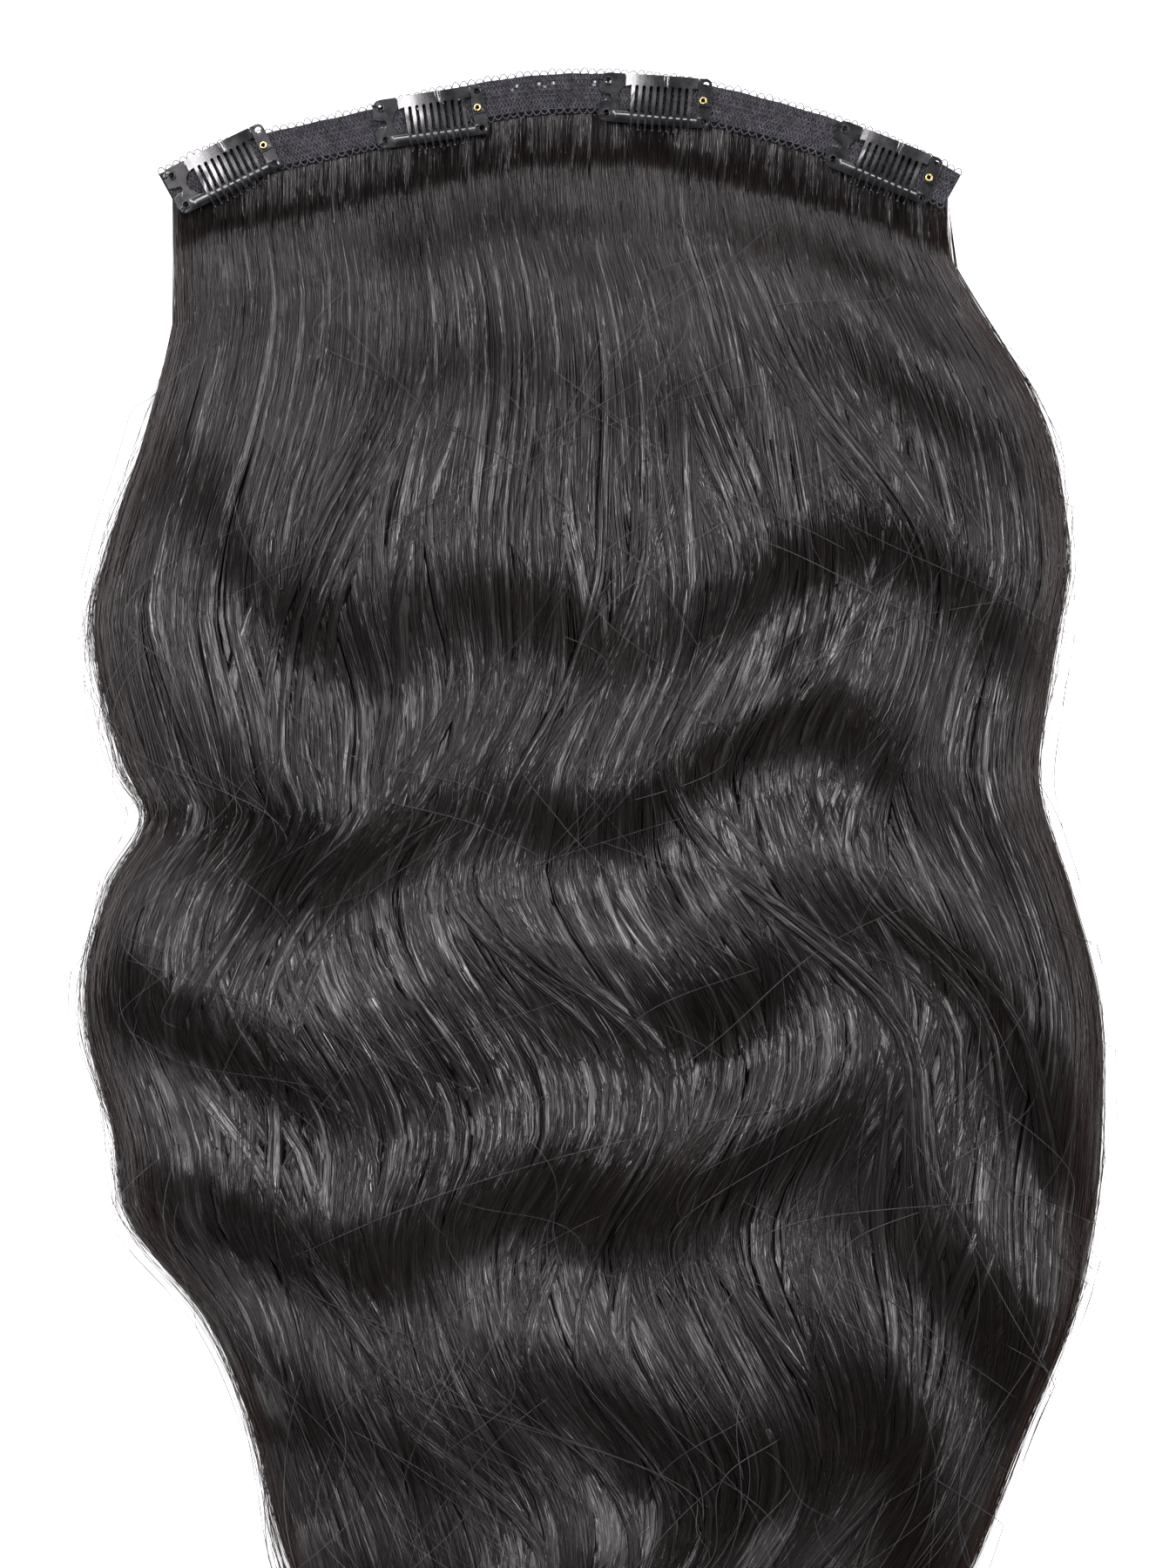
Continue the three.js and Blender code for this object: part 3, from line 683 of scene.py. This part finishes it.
def principled(name, **settings):
    """A new material, its node tree and its shader, whose sockets take the settings."""
    material = bpy.data.materials.new(name)
    material.use_nodes = True
    shader = material.node_tree.nodes["Principled BSDF"]
    for key, value in settings.items():
        shader.inputs[key.replace("_", " ")].default_value = value
    return material, material.node_tree, shader


def scaled(color, factor):
    return tuple(min(value * factor, 1) for value in color)


def edge_mask(tree, across):
    """1 at the hair's outline, 0 inside, from a share across the hair."""
    away = add(tree, "ShaderNodeMath", {0: across, 1: 0.5}, operation="SUBTRACT")
    size = add(tree, "ShaderNodeMath", {0: away.outputs[0]}, operation="ABSOLUTE")
    return ranged(tree, size.outputs[0], 0, 1, 0.44, 0.5)


def body_material(name, across, along, bump):
    """Glossy hair with streaks that follow the piece's UV map."""
    hair = bpy.context.scene.weft_hair
    material, tree, shader = principled(name, Specular_IOR_Level=0.65)
    uv = add(tree, "ShaderNodeUVMap", uv_map="UVMap")
    streaks = add(tree, "ShaderNodeGroup", node_tree=bpy.data.node_groups["fibre_streaks"])
    tree.links.new(uv.outputs[0], streaks.inputs["Vector"])
    streaks.inputs["Across"].default_value = across
    streaks.inputs["Along"].default_value = along
    lit = ranged(tree, streaks.outputs["Fine"], 0, 1)
    dark = mixed(tree, lit, scaled(hair.color, 0.4), scaled(hair.color, 1.9))
    if name == "hair_body":
        split = add(tree, "ShaderNodeSeparateXYZ", {0: uv.outputs[0]})
        # painted backlight: the body turns reddish brown towards its outline, as if lit through where it is
        # thin
        dark = mixed(tree, edge_mask(tree, split.outputs[0]), dark, scaled(hair.brown_and_backlit_color, 0.7))
    tree.links.new(dark, shader.inputs["Base Color"])
    tree.links.new(ranged(tree, streaks.outputs["Fine"], 0.15, 0.36, 0.35, 0.65), shader.inputs["Roughness"])
    raised = add(tree, "ShaderNodeBump", {"Height": streaks.outputs["Relief"]}, Strength=1.0, Distance=bump)
    tree.links.new(raised.outputs[0], shader.inputs["Normal"])
    return material


def strand_material():
    """Glossy hair whose shade differs from strand to strand, with painted backlight where the hair lies thin.
    """
    hair = bpy.context.scene.weft_hair
    material, tree, shader = principled("hair_strand", Specular_IOR_Level=0.65)
    tint = add(tree, "ShaderNodeAttribute", attribute_name="strand")
    thin = add(tree, "ShaderNodeAttribute", attribute_name="thin")
    grain = add(tree, "ShaderNodeGroup", node_tree=bpy.data.node_groups["fine_grain"])
    grain.inputs["Grain"].default_value = 900
    grain.inputs["Blotch"].default_value = 25
    shade = mixed(tree, tint.outputs["Fac"], scaled(hair.color, 0.35), scaled(hair.color, 3.2))
    # random blotches of brown tone, then painted backlight: reddish brown as strongly as the strand's thin
    # value says
    shade = mixed(tree, ranged(tree, grain.outputs["Blotch"], 0, 0.4), shade, scaled(hair.brown_and_backlit_color, 0.5))
    shade = mixed(tree, thin.outputs["Fac"], shade, hair.brown_and_backlit_color)
    tree.links.new(shade, shader.inputs["Base Color"])
    tree.links.new(multiply_add(tree, tint.outputs["Fac"], -0.16, 0.34), shader.inputs["Roughness"])
    raised = add(tree, "ShaderNodeBump", {"Height": grain.outputs["Grain"]}, Strength=0.2, Distance=0.05 * MM)
    tree.links.new(raised.outputs[0], shader.inputs["Normal"])
    return material


def grained_material(name, color, rough, grain_scale, bump, variation=0.4, blotch_scale=160.0, **settings):
    """A material whose shade, gloss and surface vary finely, from the fine_grain group."""
    material, tree, shader = principled(name, **settings)
    grain = add(tree, "ShaderNodeGroup", node_tree=bpy.data.node_groups["fine_grain"])
    grain.inputs["Grain"].default_value = grain_scale
    grain.inputs["Blotch"].default_value = blotch_scale
    blotch = ranged(tree, grain.outputs["Blotch"], 0, 1)
    shade = mixed(tree, blotch, scaled(color, 1 - variation), scaled(color, 1 + variation))
    tree.links.new(shade, shader.inputs["Base Color"])
    tree.links.new(ranged(tree, grain.outputs["Blotch"], *rough), shader.inputs["Roughness"])
    raised = add(tree, "ShaderNodeBump", {"Height": grain.outputs["Grain"]}, Strength=0.5, Distance=bump)
    tree.links.new(raised.outputs[0], shader.inputs["Normal"])
    return material


# ---------------------------------------------------------------- operators


class WEFT_OT_stage(bpy.types.Operator):
    """Floor, lights and the camera straight above the weft"""

    bl_idname = "weft.stage"
    bl_label = "Stage"

    def execute(self, context):
        scene = context.scene
        settings = scene.weft_stage
        scene.view_settings.view_transform = "Standard"
        shell = new_shell()
        bmesh.ops.create_grid(shell, x_segments=8, y_segments=8, size=6, calc_uvs=True)
        floor = linked("floor", shell)
        material, tree, shader = principled("floor_white", Roughness=0.7, Specular_IOR_Level=0.2)
        place = add(tree, "ShaderNodeTexCoord")
        noise = add(tree, "ShaderNodeTexNoise", {"Vector": place.outputs["Object"]}, Scale=3.0, Detail=2.0)
        shade = mixed(tree, noise.outputs["Fac"], scaled(settings.floor, 0.99), settings.floor)
        tree.links.new(shade, shader.inputs["Base Color"])
        shader.inputs["Emission Color"].default_value = (1, 1, 1, 1)
        shader.inputs["Emission Strength"].default_value = 0.8
        floor.data.materials.append(material)

        world = bpy.data.worlds.new("even_light")
        scene.world = world
        world.use_nodes = True
        background = world.node_tree.nodes["Background"]
        background.inputs["Color"].default_value = (0.97, 0.98, 1, 1)
        background.inputs["Strength"].default_value = settings.ambient

        for name, place, size, strength in LIGHTS:
            lamp = bpy.data.lights.new(name, "AREA")
            lamp.shape = "RECTANGLE"
            lamp.size, lamp.size_y = size
            lamp.energy = strength * settings.key * math.pi * size[0] * size[1]
            lamp.color = (1.0, 0.965, 1.0)
            lamp_object = link(name, lamp)
            lamp_object.location = Vector(place) + Vector(LIT_POINT)
            lamp_object.rotation_euler = (-Vector(place)).to_track_quat("-Z", "Y").to_euler()

        camera = bpy.data.cameras.new("camera")
        camera.sensor_fit = "VERTICAL"
        camera.sensor_height = SENSOR_HEIGHT
        camera.lens = SENSOR_HEIGHT * CAMERA_DISTANCE / FRAME_HEIGHT
        camera.clip_start, camera.clip_end = 0.01, 50
        camera_object = link("camera", camera)
        camera_object.location = CAMERA_PLACE
        scene.camera = camera_object
        return {"FINISHED"}


class WEFT_OT_hair(bpy.types.Operator):
    """The hair: its even body, the wisps and single strands on it, and the loose hairs"""

    bl_idname = "weft.hair"
    bl_label = "Hair"

    def execute(self, context):
        hair = context.scene.weft_hair
        rng = np.random.default_rng(HAIR_SEED)
        radius = hair.strand_width / 2
        finished(hair_body(), body_material("hair_body", 460, 15, 0.42 * MM), "hair")
        wisps = Wisps(rng, hair)
        finished(wisp_bodies(wisps), body_material("hair_wisp", 22, 15, 0.36 * MM), "hair")
        material = strand_material()
        for part in range(STRAND_PIECES):
            lines, widths, tints, backlit_amounts = strand_lines(wisps, rng, hair.strands // STRAND_PIECES)
            values = {"strand": tints, "thin": backlit_amounts}
            made = tubes(f"hair_strands_{part + 1}", lines, widths, radius, values=values)
            finished(made, material, "hair")
        lines, widths = edge_lines(rng, EDGE_STRANDS)
        # the outline's strands all take painted backlight, by their thin value
        values = {"strand": rng.uniform(0, 1, len(lines)), "thin": rng.uniform(0.5, 1, len(lines))}
        finished(tubes("hair_edge_strands", lines, widths, radius, values=values), material, "hair")
        lines, widths = flyaway_lines(rng, hair.flyaways)
        # the loose hairs' light grey is painted sheen
        loose = grained_material("hair_loose", hair.loose_sheen_color, (0.25, 0.4), 900, 0.05 * MM, 0.5, 40.0)
        finished(tubes("hair_flyaways", lines, widths, radius), loose, "hair")
        return {"FINISHED"}


class WEFT_OT_lace(bpy.types.Operator):
    """The lace band: its ground, its threads and the loops along both edges"""

    bl_idname = "weft.lace"
    bl_label = "Lace band"

    def execute(self, context):
        lace = context.scene.weft_lace
        rng = np.random.default_rng(LACE_SEED)
        loop_height = lace.loop_height / MM
        half = LACE_WIDTH / 2 - 1.2
        # Two copies of the lace's one colour: a darker one for the ground and seam below the threads, painted
        # shade, and a lighter one for the raised threads and loops, painted light
        shaded_cloth = grained_material(
            "lace_cloth_painted_shade", scaled(lace.color, 0.6), (0.75, 0.95), 1600, 0.25 * MM, 0.75, 620.0,
            Sheen_Weight=0.3, Sheen_Roughness=0.4,
        )
        lit_yarn = grained_material(
            "lace_yarn_painted_light", scaled(lace.color, 2.8), (0.4, 0.7), 3000, 0.08 * MM, 0.95, 430.0,
            Sheen_Weight=0.3, Sheen_Roughness=0.4,
        )

        columns, rows = 300, 10
        shell = new_shell()
        made = bmesh.ops.create_grid(shell, x_segments=columns, y_segments=rows, size=1, calc_uvs=True)
        grid = np.array([vert.co for vert in made["verts"]])
        wobble = 0.12 * np.sin(grid[:, 0] * 61) * grid[:, 1]
        x, y = band_point(grid[:, 0], LACE_RISE + grid[:, 1] * half + wobble)
        z = LACE_BOTTOM + 0.3 + 0.1 * np.sin(grid[:, 0] * 47 + grid[:, 1] * 2)
        set_places(made["verts"], np.column_stack([x, y, z]))
        holes = [
            face for face in shell.faces
            if abs(face.calc_center_median().x) < 0.045 and rng.uniform() < 0.06
            and not any(edge.is_boundary for edge in face.edges)
        ]
        bmesh.ops.delete(shell, geom=holes, context="FACES")
        bmesh.ops.recalc_face_normals(shell, faces=shell.faces)
        bmesh.ops.solidify(shell, geom=shell.faces[:], thickness=0.3 * MM)
        bmesh.ops.recalc_face_normals(shell, faces=shell.faces)
        ground = finished(linked("lace_ground", shell), shaded_cloth, "lace_band", slot="lace")

        top = LACE_BOTTOM + 0.62

        def along(steps, rise, up):
            share = np.linspace(-1, 1, steps)
            x, y = band_point(share, LACE_RISE + rise(share))
            return np.column_stack([x, y, up(share)])

        lines = []
        for place in np.linspace(-half + 0.2, half - 0.2, 8):
            phase = rng.uniform(0, 6.3)
            lines.append(along(
                300,
                lambda s: place + 0.12 * np.sin(s * 290 + phase),
                lambda s: top + 0.1 * np.sin(s * 580 + phase),
            ))
        for place, tall, pitch in ZIGZAGS:
            for flip in (1, -1):
                turns = BAND_LENGTH / pitch
                phase = rng.uniform(0, 1)
                lines.append(along(
                    int(turns * 7),
                    lambda s: place + flip * tall * np.sin(np.pi * turns * s + phase) ** 3,
                    lambda s: top - 0.05 + 0.14 * np.cos(np.pi * turns * s + phase),
                ))
        threads = tubes("lace_threads", lines, [1] * len(lines), lace.thread_width / 2, 3)
        finished(threads, lit_yarn, "lace_band", slot="lace")

        loops = int(BAND_LENGTH / (lace.loop_pitch / MM))
        lines = []
        for side in (-1, 1):
            turn = np.linspace(0, 2 * np.pi * loops, loops * 10 + 1)
            walk = turn / (2 * np.pi * loops) * 2 - 1 - 0.3 / loops * np.sin(turn)
            uneven = 1 + 0.22 * np.sin(turn * 0.37) * np.sin(turn * 0.11 + 1)
            rise = side * (half - 0.1 + loop_height * 0.5 * (1 - np.cos(turn)) * uneven - 0.12)
            x, y = band_point(np.clip(walk, -1, 1), LACE_RISE + rise)
            z = top - 0.12 + 0.15 * np.cos(turn * 0.5 + side)
            lines.append(np.column_stack([x, y, z]))
        edge_loops = tubes("lace_loops", lines, [1, 1], lace.thread_width * 0.5, 4)
        finished(edge_loops, lit_yarn, "lace_band", slot="lace")

        seam = new_shell()
        made = bmesh.ops.create_grid(seam, x_segments=260, y_segments=6, size=1, calc_uvs=True)
        grid = np.array([vert.co for vert in made["verts"]])
        x, y = band_point(grid[:, 0], SEAM_OFFSET + grid[:, 1] * SEAM_WIDTH / 2)
        z = SEAM_THICKNESS - 0.15 - 0.5 * grid[:, 1] ** 4 + 0.1 * np.sin(grid[:, 0] * 330)
        set_places(made["verts"], np.column_stack([x, y, z]))
        close_underside(seam)
        # the seam under the lace takes the darker copy: painted shade
        finished(linked("seam", seam), shaded_cloth, "hair", slot="lace")
        return {"FINISHED"}


def clip_matrix(index):
    """A clip's own frame, in metres: +X along the clip, +Y away from the hair's tips."""
    at, tilt = CLIPS[index]
    x, y = band_point(at)
    return Matrix.Translation((float(x) * MM, float(y) * MM, CLIP_BOTTOM * MM)) @ Matrix.Rotation(
        math.radians(tilt) - at * HALF_TURN, 4, "Z"
    )


class WEFT_OT_clips(bpy.types.Operator):
    """The clips' paint and brass, the round tips of their teeth and the thread that holds them"""

    bl_idname = "weft.clips"
    bl_label = "Clips"

    def execute(self, context):
        clips = context.scene.weft_clips
        paint = grained_material(
            "clip_paint", clips.paint, (0.18, 0.29), 900, 0.012 * MM, 0.3, 300.0,
            Coat_Weight=0.5, Coat_Roughness=0.12, IOR=1.6,
        )
        brass = grained_material(
            "rivet_brass", clips.brass, (0.18, 0.34), 2500, 0.01 * MM, 0.15, 600.0, Metallic=1.0
        )
        thread = grained_material(
            "sewing_thread", (0.012, 0.012, 0.013), (0.45, 0.7), 5000, 0.05 * MM, 0.3, 900.0
        )
        for name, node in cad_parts.items():
            if not name.startswith("clip_"):
                continue
            node.data.materials.clear()
            node.data.materials.append(brass if name.endswith("rivet") else paint)
            node.data.shade_smooth()
            weld = node.modifiers.new("weld", "WELD")
            weld.merge_threshold = 0.002 * MM
            bevel = node.modifiers.new("round", "BEVEL")
            bevel.width = clips.edge_round
            bevel.segments = 2
            bevel.limit_method = "ANGLE"
            bevel.angle_limit = math.radians(35)
            node.modifiers.new("even", "WEIGHTED_NORMAL")
        for index in range(len(CLIPS)):
            place = clip_matrix(index)
            self.tips(index, place, paint, clips.tip_radius)
            self.stitches(index, place, thread)
            self.bridges(index, place, paint)
        return {"FINISHED"}

    def bridges(self, index, place, paint):
        """Thin leaves of steel under the bar's two ends, where the sheet runs on into the plate."""
        shell = new_shell()
        size = Matrix.Diagonal((*(side * MM for side in BRIDGE_SIZE), 1))
        for middle in BRIDGES:
            leaf = Matrix.Translation(Vector(middle) * MM) @ size
            bmesh.ops.create_cube(shell, size=1, matrix=place @ leaf, calc_uvs=True)
        bmesh.ops.bevel(
            shell, geom=shell.edges[:], offset=0.04 * MM, segments=2, affect="EDGES", profile=0.5, material=-1
        )
        finished(linked(f"clip_{index + 1}_bridges", shell), paint, slot="clip_steel")

    def tips(self, index, place, paint, radius):
        """A round tip on each of the nine teeth."""
        shell = new_shell()
        for tooth in range(TEETH):
            ball = place @ Matrix.Translation(tooth_tip(tooth) * MM)
            bmesh.ops.create_icosphere(shell, subdivisions=2, radius=radius, matrix=ball)
        made = linked(f"clip_{index + 1}_tips", shell)
        finished(made, paint, body=f"clip_{index + 1}_comb_body", slot="clip_steel")

    def stitches(self, index, place, thread):
        """Loops of sewing thread from each hole of the clip down into the lace."""
        rng = np.random.default_rng(STITCH_SEED + index)
        lines = []
        turn = np.linspace(0, 2 * np.pi, 15)[:-1]
        for hole, out in STITCHES:
            out = np.array(out) / np.hypot(*out)
            for _ in range(STITCHES_A_HOLE):
                way = out + rng.normal(0, 0.25, 2)
                way = way / np.hypot(*way)
                reach = rng.uniform(1.25, 1.5)
                middle = np.array(hole) + way * reach
                flat = middle + np.outer(np.cos(turn), way) * reach
                high = 0.25 + np.sin(turn) * 0.72 - 0.1
                local = np.column_stack([flat, high])
                lines.append(np.array([place @ Vector(point * MM) for point in local]) / MM)
        made = tubes(f"clip_{index + 1}_stitches", lines, [1] * len(lines), 0.09 * MM, 4, closed=True)
        finished(made, thread, slot="lace")


def tooth_tip(tooth):
    """The middle of a tooth's tip in the clip's frame, in mm. It rises with the bowed bar."""
    x = FIRST_TOOTH + tooth * TOOTH_PITCH
    share = (x - BAR_LEFT) / BAR_LENGTH
    root = STEEL * share + BAR_BOW * 4 * share * (1 - share) + (STEEL - TOOTH_THICKNESS) / 2
    seat = max(TOOTH_SEAT, TOOTH_SEAT + 0.35 * (root - STEEL))
    return Vector((x, TOOTH_END + 0.1, seat - TOOTH_DROP + TOOTH_THICKNESS / 2))


class WEFT_PT_panel(bpy.types.Panel):
    """Lists the weft's operators and settings"""

    bl_label = "Clip-in hair weft"
    bl_idname = "WEFT_PT_panel"
    bl_space_type = "VIEW_3D"
    bl_region_type = "UI"
    bl_category = "Hair weft"

    def draw(self, context):
        scene = context.scene
        groups = (scene.weft_stage, scene.weft_hair, scene.weft_lace, scene.weft_clips)
        for operator, settings in zip(STEPS, groups):
            box = self.layout.box()
            box.operator(operator.bl_idname)
            for key in settings.__annotations__:
                box.prop(settings, key)


STEPS = (WEFT_OT_stage, WEFT_OT_hair, WEFT_OT_lace, WEFT_OT_clips)
SETTINGS = {
    "weft_stage": WeftStageSettings,
    "weft_hair": WeftHairSettings,
    "weft_lace": WeftLaceSettings,
    "weft_clips": WeftClipSettings,
}
CLASSES = (*SETTINGS.values(), *STEPS, WEFT_PT_panel)


def register():
    for each in CLASSES:
        bpy.utils.register_class(each)
    for name, group in SETTINGS.items():
        setattr(bpy.types.Scene, name, PointerProperty(type=group))


def unregister():
    for name in SETTINGS:
        delattr(bpy.types.Scene, name)
    for each in reversed(CLASSES):
        bpy.utils.unregister_class(each)


def main():
    register()
    streaks_group()
    grain_group()
    bpy.ops.weft.stage()
    bpy.ops.weft.hair()
    bpy.ops.weft.lace()
    bpy.ops.weft.clips()


if __name__ == "__main__":
    main()
